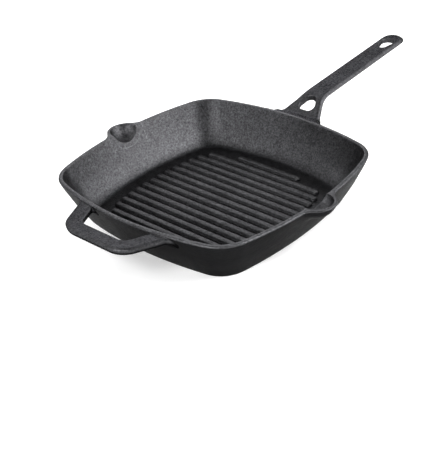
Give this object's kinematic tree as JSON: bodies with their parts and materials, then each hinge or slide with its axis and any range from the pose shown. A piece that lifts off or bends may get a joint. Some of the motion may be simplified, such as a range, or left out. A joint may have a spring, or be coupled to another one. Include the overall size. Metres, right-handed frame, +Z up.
{
  "type": "square ribbed grill skillet",
  "caption": "Square cast iron grill skillet with flared walls, a ribbed floor, pour spouts on both sides, a forked long handle with a hanging hole and a helper handle loop.",
  "frame": {"origin": "centre of the flat underside of the pan", "axes": "+Z up; +X out along the long handle; the helper handle is on -X; the pour spouts are on +Y and -Y"},
  "size_m": [0.5035, 0.2954, 0.0767],
  "materials": {
    "pan_iron": "semi-matte seasoned iron with a fine sand-cast grain",
    "rib_iron": "semi-matte seasoned iron, a little brighter on the worn crowns",
    "handle_iron": "semi-matte seasoned iron, dressed smoother on the edges"
  },
  "bodies": {
    "root": {"pan_floor": "pan_iron", "pan_wall": "pan_iron", "pour_spout_left": "pan_iron", "pour_spout_right": "pan_iron", "long_handle": "handle_iron", "helper_handle": "handle_iron", "rib_01": "rib_iron", "rib_02": "rib_iron", "rib_03": "rib_iron", "rib_04": "rib_iron", "rib_05": "rib_iron", "rib_06": "rib_iron", "rib_07": "rib_iron", "rib_08": "rib_iron", "rib_09": "rib_iron", "rib_10": "rib_iron", "rib_11": "rib_iron", "rib_12": "rib_iron", "rib_13": "rib_iron", "rib_14": "rib_iron", "rib_15": "rib_iron", "rib_16": "rib_iron"}
  },
  "joints": []
}
